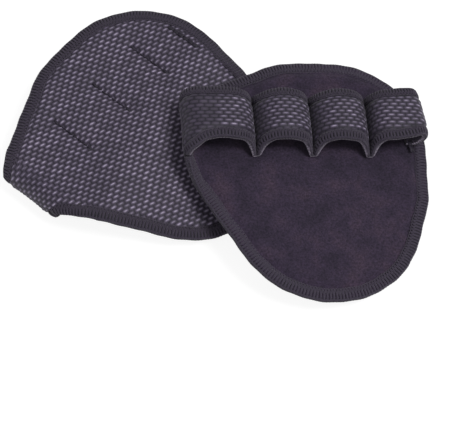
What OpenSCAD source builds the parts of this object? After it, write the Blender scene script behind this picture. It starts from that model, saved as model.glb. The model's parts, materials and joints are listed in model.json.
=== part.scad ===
// Pair of soft palm grips with four finger loops each, lying one over the other.
// The left-hand grip lies underneath with its loops down, and the right-hand grip
// lies across its palm with its loops up. Millimetres, +Z up. Each grip is drawn once,
// in its own frame: X across the fingers, Y towards the fingertips, Z through the pad
// towards the loops, with the middle loop seam at X 0, Y 0.

/* [Pad outline] */
// From the middle of the last loop to the pad's edge beside it
side_margin = 13.5; // [12:0.5:15]
// Radius of the rounded end that covers the heel of the hand
heel_r = 41.5; // [39:0.5:42.5]
// Distance from the loop seams' middle down to the centre of the heel
heel_y = 41; // [39:0.5:46]
// From the middle of the first loop to the outside of the fold
fold_run = 19.5; // [18:0.5:22.5]
// Where the fold starts, towards the fingertips
fold_rear_y = 12.5; // [12:0.5:16]
// Where the fold ends, towards the heel
fold_front_y = 20.5; // [18:0.5:22]

/* [Laminate] */
// Thickness of the raised grip fabric on the outside
skin_t = 0.7; // [0.5:0.1:0.9]
// Thickness of the rubber foam in the middle
foam_t = 2.3; // [1.6:0.1:2.6]
// Thickness of the smooth knit that faces the hand
lining_t = 0.5; // [0.3:0.1:0.7]

/* [Finger loops] */
// Distance between two loop seams
loop_pitch = 25; // [24.6:0.1:26.5]
// Height of a loop above the pad
loop_rise = 13.4; // [12.4:0.2:14]
// Width of the strap along the fingers
strap_w = 24; // [20:0.5:24]
// How far the strap is pressed together under a seam
seam_press_t = 2.1; // [1.8:0.1:2.4]

/* [Stitching] */
// Width of the overlocked edge
edge_w = 3.6; // [2.5:0.1:4.2]
// How far the overlock thread stands out of the fabric
thread_lip = 0.4; // [0.2:0.1:0.5]
// Thickness of the lockstitch thread
thread_d = 0.8; // [0.5:0.1:1]
// Distance between two stitches
stitch_pitch = 2.75; // [2:0.25:4]

/* [Lie of the pair] */
// Gap between the right grip's fold and the top of the left grip
lie_gap = 0.7; // [0.5:0.1:2]
// How far past the lower grip's crease the upper grip's rear fold corner lies
corner_past = 2.5; // [2.25:0.25:4]
// Turn of the right grip about the vertical, in degrees
right_turn = 5; // [4:0.5:6]
// Turn of the left grip about the vertical, in degrees
left_turn = 50; // [49:0.5:51]

/* [Hidden] */
$fn = 96;
far = 200;                      // larger than the whole pair, for cutting planes

pad_t = skin_t + foam_t + lining_t;
foam_z = skin_t;                // the foam lies on the skin
lining_z = skin_t + foam_t;     // and the lining on the foam

loop_gap = 1.2;                 // between the outsides of two loops
arch_r = (loop_pitch - loop_gap) / 2;
arch_z = pad_t + loop_rise - arch_r;
arch_x = [-1.5, -0.5, 0.5, 1.5] * loop_pitch;
first_x = arch_x[0];
last_x = arch_x[3];

// Pad outline: a broad rounded end over the finger roots, as wide as the loops need, a
// fuller side below it, the rounded heel, and two straight edges that run in to the fold
dome_c = [12, -6];
dome_r = last_x + side_margin - dome_c[0];
dome_run = 14;                  // length of the broad end's level part
dome_left = dome_c - [dome_run, 0];
side_c = [7, -27];
side_in = 1.4;                  // how far inside the broad end the fuller side stays
side_r = dome_c[0] + dome_r - side_in - side_c[0];
heel_c = [3, -heel_y];
fold_x = fold_run - first_x;
fold_rear = [-fold_x, fold_rear_y];
fold_front = [-fold_x, -fold_front_y];
function along(a, r) = r * [cos(a), sin(a)];
function angle_of(v) = atan2(v[1], v[0]);
// Points along an arc, near enough together to look round
arc_steps = 32;
function arc(c, r, from_a, to_a) =
  [for (i = [0:arc_steps]) c + along(from_a + (to_a - from_a) * i / arc_steps, r)];
function turned(p, a) = along(angle_of(p) + a, norm(p));
// Angle of the point where a line from p touches a circle, on the side given by turn
function touch(p, c, r, turn) = angle_of(p - c) + turn * acos(r / norm(p - c));
// Angle at which a straight side touches one circle and then the next
function side_touch(c, r, next_c, next_r) =
  angle_of(next_c - c) + acos((r - next_r) / norm(next_c - c));
rear_a = touch(fold_rear, dome_left, dome_r, -1);
front_a = touch(fold_front, heel_c, heel_r, 1);
dome_a = side_touch(dome_c, dome_r, side_c, side_r);
side_a = side_touch(side_c, side_r, heel_c, heel_r);

// The fold turns the pad over into the strap, with the top level with the loops
fold_r = (pad_t + loop_rise) / 2;
fold_start = fold_r - fold_x;   // X where the flat pad ends
strap_top = pad_t + loop_rise;
// The strap's end turns under the last loop and is pressed flat on the pad
end_r = loop_rise / 2;
end_run = 5.5;                  // how far the last loop bulges on before it turns under
tab_run = 3;                    // how far in the pressed part starts
end_x = last_x + end_run;
tab_x = last_x + tab_run;
taper_run = 1;
taper_x = first_x - taper_run;  // the strap narrows from the fold to here
seam_x = [-1, 0, 1] * loop_pitch;
seam_margin = 1;                // from a seam's end to the strap's edge
seam_len = strap_w - 2 * seam_margin;
tack_run = 1.4;                 // from the start of the pressed part to its stitches
tack_x = tab_x + tack_run;
tack_y = [3 - strap_w / 2, 5];
sewn_top = pad_t + seam_press_t;  // of the strap where a seam holds it

// The crease where the pad bends: a line from the foot of the fold, just off the pad's front
// edge, to a point just in front of the strap, at the pad's side
front_slope = -1 / tan(front_a);
crease_off_edge = 1.3;
crease_off_strap = 2.7;
crease_at = [fold_start, fold_front[1] + fold_r * front_slope - crease_off_edge];
crease_a = angle_of([last_x + side_margin, -strap_w / 2 - crease_off_strap] - crease_at);
crease_gap = 0.3;
// Height of the crease's hinge line: at whichever face is on top as the grip lies
left_hinge_z = -thread_lip;
right_hinge_z = pad_t + thread_lip;

// The right grip lies with its free side on the ground and its fold on the left grip
side_x = dome_c[0] + dome_r + thread_lip;
left_top = strap_top + 2 * thread_lip;
right_roll = asin((left_top + lie_gap) / (fold_x + side_x));
right_z = side_x * sin(right_roll) + thread_lip * cos(right_roll);

// Each palm hangs from its crease until it meets the ground
crease_dir = along(crease_a, 1);
crease_out = [crease_dir[1], -crease_dir[0]];
heel_reach = (heel_c - crease_at) * crease_out + heel_r + thread_lip;
palm_t = pad_t + 2 * thread_lip;
left_droop = asin(left_top / norm([heel_reach, palm_t])) - atan2(palm_t, heel_reach);
// Height above the ground of the lowest point of one rounded part of the right palm, when
// the palm droops by d
function round_low(d, c, r) =
  let (down_t = sin(right_roll) * crease_dir[0])
  let (down_s = sin(right_roll) * crease_dir[1] * cos(d) + cos(right_roll) * sin(d))
  let (crease_z = right_z - crease_at[0] * sin(right_roll) + right_hinge_z * cos(right_roll))
  let (under = palm_t * (cos(right_roll) * cos(d) - sin(right_roll) * crease_dir[1] * sin(d)))
  crease_z - under - down_t * ((c - crease_at) * crease_dir)
    - down_s * ((c - crease_at) * crease_out) - (r + thread_lip) * norm([down_t, down_s]);
function right_low(d) = min(round_low(d, heel_c, heel_r), round_low(d, side_c, side_r));
// Halves the range between two angles until the palm just meets the ground
function settle(low, high, turns) =
  let (mid = (low + high) / 2)
  turns == 0 ? low : right_low(mid) > 0 ? settle(mid, high, turns - 1) : settle(low, mid, turns - 1);
most_droop = 20;
halvings = 24;
right_droop = settle(0, most_droop, halvings);

// Where each grip's frame lies. The right grip's rear fold corner lies past the left crease.
heel_front = 10.8;    // from the right grip's middle forward to the middle of the left heel
left_y = -heel_front - turned(heel_c, left_turn)[1];
left_crease = turned(crease_at, left_turn) + [0, left_y];
left_out = turned(crease_out, left_turn);
right_corner = turned([-fold_x * cos(right_roll), fold_rear_y], right_turn);
left_x = right_corner[0] - left_crease[0]
  - (corner_past - left_out[1] * (right_corner[1] - left_crease[1])) / left_out[0];
left_at = [left_x, left_y, strap_top + thread_lip];
right_at = [0, 0, right_z];
pair_at = [39.94, 11.4, 0];    // puts the middle of the pair at the origin

grip_colour = "#4b4455";
smooth_colour = "#3c3442";
foam_colour = "#1c1a20";
thread_colour = "#3a3342";

// Placement

module left() {
  translate(left_at + pair_at) rotate([0, 0, left_turn]) mirror([0, 0, 1]) children();
}

module right() {
  translate(right_at + pair_at) rotate([0, 0, right_turn]) rotate([0, right_roll, 0]) children();
}

// Turns the children about the crease, so that the palm hangs down
module drooped(angle, hinge_z) {
  translate([crease_at[0], crease_at[1], hinge_z]) rotate([0, 0, crease_a]) rotate([angle, 0, 0])
    rotate([0, 0, -crease_a]) translate([-crease_at[0], -crease_at[1], -hinge_z]) children();
}

// Everything further towards the heel than the crease, less a gap
module heel_side(gap) {
  translate([crease_at[0], crease_at[1], 0]) rotate([0, 0, crease_a])
    translate([-far, -far - gap, -far / 2]) cube([2 * far, far, far]);
}

module palm_part(angle, hinge_z) {
  intersection() {
    drooped(angle, hinge_z) children();
    heel_side(crease_gap);
  }
}

// Flat outlines

// The pad's outline, drawn in by inset everywhere but at the fold
module pad_outline(inset) {
  rear_drop = inset / sin(rear_a);
  front_rise = -inset / sin(front_a);
  polygon(concat(
    [fold_front + [0, front_rise], fold_rear - [0, rear_drop]],
    arc(dome_left, dome_r - inset, rear_a, 90),
    arc(dome_c, dome_r - inset, 90, dome_a),
    arc(side_c, side_r - inset, dome_a, side_a),
    arc(heel_c, heel_r - inset, side_a, front_a - 360)
  ));
}

// The part of the pad that lies flat, up to where the fold starts
module flat_outline(inset) {
  intersection() {
    pad_outline(inset);
    translate([fold_start, -far / 2]) square(far);
  }
}

// The strap's outline from above: it narrows from the fold to the first loop
module strap_outline(inset) {
  half = strap_w / 2 - inset;
  rear_end = fold_rear[1] - inset;
  front_end = fold_front[1] + inset;
  polygon([
    [-far, rear_end], [-fold_x, rear_end], [taper_x, half], [far, half],
    [far, -half], [taper_x, -half], [-fold_x, front_end], [-far, front_end]
  ]);
}

// How high above the pad a layer of the turned end lies, pressed by its stitches
function tab_floor(d) = max(d, 0) * seam_press_t / pad_t;

// The strap's side view, filled, drawn in by d. Bands between two of these are the layers.
// web is the height of the pressed part that joins one loop to the next.
module strap_profile(d, web) {
  intersection() {
    union() {
      for (x = arch_x) translate([x, arch_z]) circle(arch_r - d);
      translate([fold_start, fold_r]) circle(fold_r - d);
      translate([fold_start, pad_t]) square([first_x - fold_start, loop_rise - d]);
      translate([end_x, pad_t + end_r]) circle(end_r - d);
      translate([last_x, pad_t]) square([end_x - last_x, loop_rise - d]);
      if (web > 0) translate([first_x, pad_t]) square([last_x - first_x, web]);
    }
    union() {
      translate([fold_start, pad_t]) square([tab_x - fold_start, far]);
      translate([tab_x, pad_t + tab_floor(d)]) square([far, far]);
    }
  }
  fold_profile(d);
}

// The half turn of the fold, left of where the flat pad ends
module fold_profile(d) {
  intersection() {
    translate([fold_start, fold_r]) circle(fold_r - d);
    translate([fold_start - far, -far / 2]) square(far);
  }
}

module upright(depth = far) {
  rotate([90, 0, 0]) linear_extrude(depth, center = true) children();
}

// The space over a strap outline: all of it above the pad, and the fold's upper half
module over_strap() {
  translate([0, 0, pad_t]) linear_extrude(far) intersection() {
    children();
    translate([fold_start, -far / 2]) square(far);
  }
  translate([0, 0, fold_r]) linear_extrude(far) intersection() {
    children();
    translate([fold_start - far, -far / 2]) square(far);
  }
}

// The space under the fold's upper half, over a pad outline
module under_fold() {
  translate([0, 0, fold_r - far]) linear_extrude(far) intersection() {
    children();
    translate([fold_start - far, -far / 2]) square(far);
  }
}

// Stitch holes and threads

stitches = floor(seam_len / stitch_pitch);

// One upright thread at each stitch of a line along Y
module stitch_posts(from_y, count, d, top) {
  for (i = [0:count - 1])
    translate([0, from_y + i * stitch_pitch, -thread_lip]) cylinder(d = d, h = top + thread_lip);
}

module seam_posts(x, top) {
  translate([x, 0, 0])
    stitch_posts(-(stitches - 1) * stitch_pitch / 2, stitches, thread_d, top);
}

tack_stitches = floor((tack_y[1] - tack_y[0]) / stitch_pitch);

module tack_posts(top) {
  translate([tack_x, 0, 0])
    stitch_posts(tack_y[0] + stitch_pitch / 2, tack_stitches, thread_d, top);
}

module all_posts() {
  for (x = seam_x) seam_posts(x, strap_top);
  tack_posts(sewn_top);
}

// Layers of the pad

module pad_layer(z, t) {
  translate([0, 0, z]) linear_extrude(t) flat_outline(0);
}

module finger_layer(z, t) {
  difference() {
    pad_layer(z, t);
    heel_side(0);
    all_posts();
  }
}

module finger_skin() { color(grip_colour) finger_layer(0, skin_t); }
module finger_foam() { color(foam_colour) finger_layer(foam_z, foam_t); }
module finger_lining() { color(smooth_colour) finger_layer(lining_z, lining_t); }

module palm_skin(angle, hinge_z) {
  color(grip_colour) palm_part(angle, hinge_z) pad_layer(0, skin_t);
}
module palm_foam(angle, hinge_z) {
  color(foam_colour) palm_part(angle, hinge_z) pad_layer(foam_z, foam_t);
}
module palm_lining(angle, hinge_z) {
  color(smooth_colour) palm_part(angle, hinge_z) pad_layer(lining_z, lining_t);
}

// Layers of the strap, between two depths in from its outside

module strap_layer(outer, outer_web, inner, inner_web) {
  difference() {
    intersection() {
      upright() difference() {
        strap_profile(outer, outer_web);
        strap_profile(inner, inner_web);
      }
      union() {
        over_strap() strap_outline(0);
        under_fold() pad_outline(0);
      }
    }
    all_posts();
  }
}

web_lining_t = 0.4;             // the lining where a seam presses it
web_skin_z = seam_press_t - skin_t;

module strap_skin() {
  color(grip_colour) strap_layer(0, seam_press_t, skin_t, web_skin_z);
}
module strap_foam() {
  color(foam_colour) strap_layer(skin_t, web_skin_z, lining_z, web_lining_t);
}
module strap_lining() {
  color(smooth_colour) strap_layer(lining_z, web_lining_t, pad_t, 0);
}

// Overlocked edges: a band of thread that wraps over the edge of all the layers

module edge_outline() {
  difference() {
    pad_outline(-thread_lip);
    pad_outline(edge_w);
  }
}

// The band around the flat pad
module pad_overlock() {
  difference() {
    translate([0, 0, -thread_lip]) linear_extrude(pad_t + 2 * thread_lip) intersection() {
      edge_outline();
      translate([fold_start, -far / 2]) square(far);
    }
    pad_layer(0, pad_t);
  }
}

// The band that goes on around the lower half of the fold
module fold_overlock() {
  difference() {
    intersection() {
      upright() difference() {
        fold_profile(-thread_lip);
        fold_profile(pad_t + thread_lip);
      }
      under_fold() edge_outline();
    }
    intersection() {
      upright() difference() {
        fold_profile(0);
        fold_profile(pad_t);
      }
      under_fold() pad_outline(0);
    }
  }
}

module finger_overlock() {
  color(thread_colour) {
    difference() {
      pad_overlock();
      heel_side(0);
      intersection() {
        upright() strap_profile(-thread_lip, seam_press_t + thread_lip);
        over_strap() strap_outline(-thread_lip);
      }
    }
    difference() {
      fold_overlock();
      heel_side(0);
    }
  }
}

module palm_overlock(angle, hinge_z) {
  color(thread_colour) palm_part(angle, hinge_z) pad_overlock();
}

// The band along one edge of the strap: side is 1 at the rear and -1 at the front
module strap_overlock(side) {
  color(thread_colour) difference() {
    intersection() {
      upright() difference() {
        strap_profile(-thread_lip, seam_press_t + thread_lip);
        strap_profile(pad_t + thread_lip, 0);
      }
      over_strap() intersection() {
        difference() {
          strap_outline(-thread_lip);
          strap_outline(edge_w);
        }
        translate([-far, side * far - far]) square([2 * far, 2 * far]);
      }
    }
    intersection() {
      upright() difference() {
        strap_profile(0, seam_press_t);
        strap_profile(pad_t, 0);
      }
      over_strap() strap_outline(0);
    }
    for (x = seam_x) seam_thread(x);
    tack_thread();
  }
}

// Lockstitch seams: a thread along each face, joined through every layer. They are sewn
// over the overlocked edges, and bite into them.

module seam_thread(x) {
  seam_posts(x, sewn_top + thread_lip);
  for (z = [-thread_lip, sewn_top])
    translate([x - thread_d / 2, -seam_len / 2, z]) cube([thread_d, seam_len, thread_lip]);
}

module tack_thread() {
  tack_posts(sewn_top + thread_lip);
  for (z = [-thread_lip, sewn_top])
    translate([tack_x - thread_d / 2, tack_y[0], z])
      cube([thread_d, tack_y[1] - tack_y[0], thread_lip]);
}

module seam(x) { color(thread_colour) seam_thread(x); }
module end_tack() { color(thread_colour) tack_thread(); }

left() finger_skin();  // left_finger_skin
left() finger_foam();  // left_finger_foam
left() finger_lining();  // left_finger_lining
left() finger_overlock();  // left_finger_overlock
left() palm_skin(-left_droop, left_hinge_z);  // left_palm_skin
left() palm_foam(-left_droop, left_hinge_z);  // left_palm_foam
left() palm_lining(-left_droop, left_hinge_z);  // left_palm_lining
left() palm_overlock(-left_droop, left_hinge_z);  // left_palm_overlock
left() strap_skin();  // left_strap_skin
left() strap_foam();  // left_strap_foam
left() strap_lining();  // left_strap_lining
left() strap_overlock(-1);  // left_strap_front_overlock
left() strap_overlock(1);  // left_strap_rear_overlock
left() seam(seam_x[0]);  // left_seam_index
left() seam(seam_x[1]);  // left_seam_middle
left() seam(seam_x[2]);  // left_seam_ring
left() end_tack();  // left_end_tack

right() finger_skin();  // right_finger_skin
right() finger_foam();  // right_finger_foam
right() finger_lining();  // right_finger_lining
right() finger_overlock();  // right_finger_overlock
right() palm_skin(right_droop, right_hinge_z);  // right_palm_skin
right() palm_foam(right_droop, right_hinge_z);  // right_palm_foam
right() palm_lining(right_droop, right_hinge_z);  // right_palm_lining
right() palm_overlock(right_droop, right_hinge_z);  // right_palm_overlock
right() strap_skin();  // right_strap_skin
right() strap_foam();  // right_strap_foam
right() strap_lining();  // right_strap_lining
right() strap_overlock(-1);  // right_strap_front_overlock
right() strap_overlock(1);  // right_strap_rear_overlock
right() seam(seam_x[0]);  // right_seam_index
right() seam(seam_x[1]);  // right_seam_middle
right() seam(seam_x[2]);  // right_seam_ring
right() end_tack();  // right_end_tack
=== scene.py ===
import json
import math

import bpy
import numpy as np
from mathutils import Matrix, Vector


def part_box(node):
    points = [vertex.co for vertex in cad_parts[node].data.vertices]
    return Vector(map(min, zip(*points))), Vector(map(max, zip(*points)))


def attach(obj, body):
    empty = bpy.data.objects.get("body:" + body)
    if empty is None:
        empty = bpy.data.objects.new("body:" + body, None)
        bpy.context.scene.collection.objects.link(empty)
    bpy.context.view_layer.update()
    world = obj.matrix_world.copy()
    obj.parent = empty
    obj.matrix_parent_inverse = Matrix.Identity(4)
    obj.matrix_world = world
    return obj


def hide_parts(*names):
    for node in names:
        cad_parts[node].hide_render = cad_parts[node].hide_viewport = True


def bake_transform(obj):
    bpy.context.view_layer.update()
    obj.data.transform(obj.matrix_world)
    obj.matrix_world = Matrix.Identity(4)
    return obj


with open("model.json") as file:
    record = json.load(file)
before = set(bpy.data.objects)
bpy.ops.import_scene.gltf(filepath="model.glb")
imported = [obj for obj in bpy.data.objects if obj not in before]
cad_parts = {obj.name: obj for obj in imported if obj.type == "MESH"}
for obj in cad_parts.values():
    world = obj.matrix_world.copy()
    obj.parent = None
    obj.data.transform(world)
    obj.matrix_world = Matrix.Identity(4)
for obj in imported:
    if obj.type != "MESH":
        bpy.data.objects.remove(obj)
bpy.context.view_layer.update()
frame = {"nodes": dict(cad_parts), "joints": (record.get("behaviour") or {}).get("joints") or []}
print("frame loaded:", len(frame["nodes"]), "nodes")

mm = 0.001


def inScene(name, data):
    thing = bpy.data.objects.new(name, data)
    bpy.context.scene.collection.objects.link(thing)
    return thing


# the camera comes first
view = {"aim": (0.0082, -0.0266, 0.0), "distance": 0.9, "elevation": 62, "angle": 12.8}


def addCamera():
    camera = inScene("camera", bpy.data.cameras.new("camera"))
    tilt = math.radians(view["elevation"])
    back = np.array([0, -math.cos(tilt), math.sin(tilt)]) * view["distance"]
    camera.location = np.array(view["aim"]) + back
    camera.rotation_euler = (math.radians(90) - tilt, 0, 0)
    camera.data.angle = math.radians(view["angle"])
    camera.data.clip_start = 0.01
    bpy.context.scene.camera = camera


addCamera()

# The flat pattern of one grip, in mm.
# x runs across the fingers, y towards the fingertips, and depth in from the raised fabric.
# The cloth is one long blank: pad, half turn of the fold, then the strap. u is the
# distance along it, the same as x on the pad, and it goes on falling past the fold.
pattern = {
    "thickness": 3.5,
    "loopTop": 16.9,
    "foldX": -57.0,
    "foldRearY": 12.5,
    "foldFrontY": -20.5,
    # middles and radii of the rounded parts, from the rear fold corner to the front one
    "rounds": ((-2.0, -6.0, 39.0), (12.0, -6.0, 39.0), (7.0, -27.0, 42.6), (3.0, -41.0, 41.5)),
    "seams": (-25.0, 0.0, 25.0),
    "seamHalf": 11.0,
    "pressed": 2.1,  # the strap's thickness where a seam holds it
    "strapHalf": 12.0,
    "taperX": -38.5,
    "tackX": 43.2,  # where the strap's turned end is sewn down
    "spanLong": 110,  # a box that holds the whole pad past the fold
    "spanY": (-84, 35),
}

foldRadius = pattern["loopTop"] / 2
foldStart = pattern["foldX"] + foldRadius
quarterTurn = foldRadius * math.pi / 2


def smooth(value, low, high):
    share = np.clip((value - low) / (high - low), 0, 1)
    return share * share * (3 - 2 * share)


def bump(value, width):
    return np.exp(-(value / width) ** 2)


def unit(vector):
    return vector / np.linalg.norm(vector)


def unitRows(vectors):
    return vectors / np.maximum(np.linalg.norm(vectors, axis=1), 1e-12)[:, None]


def distanceAlong(line):
    return np.concatenate([[0], np.cumsum(np.linalg.norm(np.diff(line, axis=0), axis=1))])


def touchAngle(point, circle, turn):
    # angle of the point where a line from a fold corner touches a rounded end
    away = np.subtract(point, circle[:2])
    return math.atan2(away[1], away[0]) + turn * math.acos(circle[2] / np.hypot(*away))


rearAngle = touchAngle((pattern["foldX"], pattern["foldRearY"]), pattern["rounds"][0], -1)
frontAngle = touchAngle((pattern["foldX"], pattern["foldFrontY"]), pattern["rounds"][-1], 1)
frontAngle -= 2 * math.pi
outlineAngles = np.linspace(rearAngle, frontAngle, 481)
outlineWays = np.stack([np.cos(outlineAngles), np.sin(outlineAngles)], 1)
rounds = np.array(pattern["rounds"])
reaches = outlineWays @ rounds[:, :2].T + rounds[:, 2]
outlineReach = reaches.max(1)
widest = rounds[reaches.argmax(1)]
outline = widest[:, :2] + widest[:, 2:] * outlineWays


def insetOf(x, y):
    # how far in from the pad's edge each point lies, and which way is out
    x, y = np.broadcast_arrays(np.asarray(x, float), np.asarray(y, float))
    points = np.stack([x.ravel(), y.ravel()], 1)
    inset = np.empty(len(points))
    out = np.empty((len(points), 2))
    for start in range(0, len(points), 8192):
        part = slice(start, start + 8192)
        gaps = outlineReach - points[part] @ outlineWays.T
        nearest = gaps.argmin(1)
        inset[part] = gaps[np.arange(len(gaps)), nearest]
        out[part] = outlineWays[nearest]
    return inset.reshape(x.shape), out.reshape(x.shape + (2,))


# the strap's side view, in mm
strapShape = {
    "leadX": -30.0,  # the side view starts here, on the flat pad
    "valleyZ": 5.2,
    "apexShift": -0.4,
    "steep": ((0.7, 7.8), (-5.6, 0.0)),  # handles of the rise from a seam to the next loop
    "gentle": ((7.2, 0.0), (-1.2, 8.6)),  # and of the fall from a loop to the next seam
    "lastRise": 8.5,
    "lastDip": 0.4,
    "endX": 43.2,
    "endRadius": 6.7,
    "tabX": 40.5,
    "round": 1.1,  # how far bends are rounded off
    "roundOut": 0.8,  # and how far the way out of the surface is
    "pressReach": 4.0,  # how far from a seam the strap is pressed thin
}
lineStep = 0.1  # mm between the points of every line


def bezier(start, handleA, handleB, end):
    t = np.linspace(0, 1, 60, endpoint=False)[:, None]
    first = (1 - t) ** 3 * start + 3 * (1 - t) ** 2 * t * handleA
    return first + 3 * (1 - t) * t**2 * handleB + t**3 * end


def strapSideView():
    # the outside of the folded blank: pad, fold, loops and the turned end
    top = pattern["loopTop"]
    steep, gentle = strapShape["steep"], strapShape["gentle"]
    turn = np.linspace(0, math.pi, 90)
    lead = np.linspace(strapShape["leadX"], foldStart, 40)
    fold = [foldStart - foldRadius * np.sin(turn), foldRadius * (1 - np.cos(turn))]
    parts = [np.stack([lead, np.zeros_like(lead)], 1)[:-1], np.stack(fold, 1)]
    halfPitch = (pattern["seams"][1] - pattern["seams"][0]) / 2
    apexes = [x - halfPitch + strapShape["apexShift"] for x in pattern["seams"]]
    apexes.append(pattern["seams"][-1] + strapShape["lastRise"])
    dips = (0, 0, strapShape["lastDip"])
    for seamX, before, after, dip in zip(pattern["seams"], apexes, apexes[1:], dips):
        valley = np.array([seamX, strapShape["valleyZ"]])
        before = np.array([before, top])
        after = np.array([after, top])
        parts.append(bezier(before, before + gentle[0], valley + gentle[1], valley))
        parts.append(bezier(valley, valley + steep[0], after + steep[1] - (0, dip), after))
    radius = strapShape["endRadius"]
    end = [strapShape["endX"] + radius * np.sin(turn), top - radius + radius * np.cos(turn)]
    parts.append(np.stack(end, 1))
    parts.append(np.array([[strapShape["tabX"], top - 2 * radius]]))
    return evenly(np.concatenate(parts))


def evenly(line):
    # the same line with its points one step apart
    along = distanceAlong(line)
    marks = np.linspace(0, along[-1], int(along[-1] / lineStep) + 1)
    return np.stack([np.interp(marks, along, column) for column in line.T], 1)


def rounded(line, reach):
    # rounds off a line's bends, but keeps its ends where they are
    count = int(reach / lineStep)
    weights = np.hanning(2 * count + 3)[1:-1]
    weights = weights / weights.sum()
    padded = np.pad(line, ((count, count), (0, 0)), "edge")
    return np.stack([np.convolve(column, weights, "valid") for column in padded.T], 1)


sideView = rounded(strapSideView(), strapShape["round"])
sideAlong = distanceAlong(sideView)
nearFold = sideView[:400]  # the distance along counts from where the fold starts
sideAlong -= sideAlong[np.argmin(np.abs(nearFold[:, 0] - foldStart) + nearFold[:, 1])]
heading = unitRows(np.gradient(sideView, axis=0))
sideOut = rounded(np.stack([-heading[:, 1], heading[:, 0]], 1), strapShape["roundOut"])
sideOut = unitRows(sideOut)
strapLength = sideAlong[-1]
foldEnd = 2 * quarterTurn
print("strap cut length", round(strapLength, 1), "mm")

valleys = []
for seamX in pattern["seams"]:
    near = (np.abs(sideView[:, 0] - seamX) < 2) & (sideView[:, 1] > 2)
    near &= sideAlong > foldEnd
    where = np.flatnonzero(near)
    valleys.append(sideAlong[where[sideView[where, 1].argmin()]])
# the distance along the strap at which its turned end starts
last = (sideAlong > valleys[2] + 5) & (sideAlong < valleys[2] + 30)
endMark = sideAlong[last][np.abs(sideView[last, 0] - strapShape["endX"]).argmin()]
endStretch = (endMark - 12, endMark + 10)


def valleyNess(t, width):
    return sum(bump(t - valley, width) for valley in valleys)


def strapThickness(t):
    thin = valleyNess(t, strapShape["pressReach"])
    thin = np.clip(thin + smooth(t, strapLength - 9, strapLength - 3), 0, 1)
    return pattern["thickness"] - (pattern["thickness"] - pattern["pressed"]) * thin


# The floats' colour is dulled with painted shade where the strap rises into a loop and over the
# fold, and painted dark as shade down in the seams
floatPaintedShade = {
    "riseAt": 6.0,  # from a seam to the middle of the next rise
    "riseHalf": 4.2,
    "paintedFlankShade": 0.45,
    "seamHalf": 2.4,
    "paintedSeamShade": 0.95,
}


def loopPaintedShade(t):
    rises = [valley + floatPaintedShade["riseAt"] for valley in valleys]
    flankShade = sum(bump(t - rise, floatPaintedShade["riseHalf"]) for rise in rises)
    overFold = smooth(t, quarterTurn * 0.8, quarterTurn * 1.4)
    flankShade = flankShade + overFold * smooth(t, foldEnd + 9, foldEnd + 3)
    seamShade = np.clip(valleyNess(t, floatPaintedShade["seamHalf"]), 0, floatPaintedShade["paintedSeamShade"])
    return (1 - floatPaintedShade["paintedFlankShade"] * np.clip(flankShade, 0, 1)) * (1 - seamShade)


strapEdges = {
    "valleySwing": 2.9,
    "rearSwing": 0.7,
    "endFront": 3.6,
    "endRear": 1.6,
    "endSkew": 1.3,
    "cornerTuck": 2.8,  # the fold's front corner is drawn in as it turns over
}


def plainEdge(t, corner, angle, circle, far, taper, straight):
    # an edge of the strap: it carries on the pad's straight edge up to the fold corner,
    # tapers past it, and then runs straight at far
    x = np.interp(t, sideAlong, sideView[:, 0])
    touch = np.array(circle[:2]) + circle[2] * np.array([math.cos(angle), math.sin(angle)])
    slope = (touch[1] - corner[1]) / (touch[0] - corner[0])
    lower = corner[1] + slope * (x - corner[0])
    upper = corner[1] + (far - corner[1]) * smooth(x, *taper)
    return np.where(t < quarterTurn, lower, np.where(t < foldEnd + straight, upper, far))


def strapRear(t):
    corner = (pattern["foldX"], pattern["foldRearY"])
    taper = (pattern["foldX"], pattern["taperX"])
    far = pattern["strapHalf"]
    plain = plainEdge(t, corner, rearAngle, pattern["rounds"][0], far, taper, 12)
    swing = strapEdges["rearSwing"] * valleyNess(t, 5)
    return plain + swing + strapEdges["endRear"] * smooth(t, *endStretch)


def strapFront(t):
    corner = (pattern["foldX"], pattern["foldFrontY"])
    taper = (pattern["foldX"] - 4, pattern["taperX"] + 3)
    far = -pattern["strapHalf"]
    plain = plainEdge(t, corner, frontAngle, pattern["rounds"][-1], far, taper, 14)
    swing = strapEdges["valleySwing"] * valleyNess(t, 4.2)
    tuck = smooth(t, quarterTurn * 0.3, quarterTurn * 1.15) * smooth(t, foldEnd + 14, foldEnd)
    plain = plain + strapEdges["cornerTuck"] * tuck
    return plain - swing + strapEdges["endFront"] * smooth(t, *endStretch)


def foldedPlace(u, y, depth):
    # from the flat blank to the folded grip: local x, y, z
    t = foldStart - u
    columns = (*sideView.T, *sideOut.T)
    x, z, outX, outZ = (np.interp(t, sideAlong, column) for column in columns)
    x = x - outX * depth
    z = z - outZ * depth
    skew = smooth(t, endMark - 14, endMark + 6) * -y / pattern["strapHalf"] * strapEdges["endSkew"]
    pad = t <= 0
    return np.where(pad, u, x + skew), y + 0 * u, np.where(pad, depth, z)


def middleOf(node):
    low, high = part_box(node)
    return (np.array(low) + np.array(high)) / 2


bendShape = {
    "half": 8.0,  # the bend is spread this far to each side of the crease
    "reach": 120,
    "seamMiddleZ": 2.8,  # height of a seam's middle over the raised face
    "along": 46,  # the blend's ends: along the crease from the hinge,
    "before": 4,  # before the crease
    "after": 13,  # and after it
}


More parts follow.
